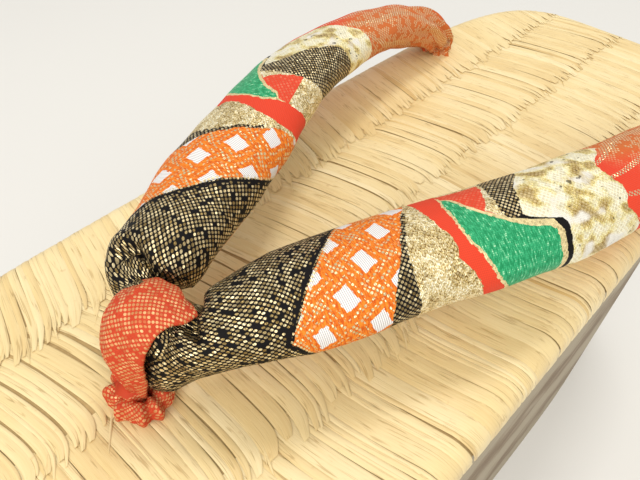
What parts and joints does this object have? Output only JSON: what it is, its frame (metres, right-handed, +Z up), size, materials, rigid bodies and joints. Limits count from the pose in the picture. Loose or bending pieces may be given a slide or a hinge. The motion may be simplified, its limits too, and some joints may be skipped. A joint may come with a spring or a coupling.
{
  "type": "okobo sandal",
  "caption": "Tall carved wooden thong sandal with a slope under the toe, a woven bamboo sheath top, and a padded brocade V strap held by a red cloth loop.",
  "frame": {"origin": "on the ground, under the middle of the sandal's length and width", "axes": "+Y from toe to heel along the sandal's length, +X across it, +Z up"},
  "size_m": [0.0898, 0.239, 0.1238],
  "materials": {
    "wood": "plain planed paulownia, unvarnished, lengthwise grain",
    "sheath": "split bamboo sheath, woven, faint natural gloss",
    "brocade": "padded figured brocade with metallic gold threads",
    "red_cloth": "red cloth with short gold threads",
    "cord": "undyed twisted hemp cord"
  },
  "bodies": {
    "root": {"wood_body": "wood", "woven_top": "sheath", "thong_strap": "brocade", "front_loop": "red_cloth", "loop_ruffle": "red_cloth", "front_knot": "cord", "rear_knot_right": "cord", "rear_knot_left": "cord"}
  },
  "joints": []
}
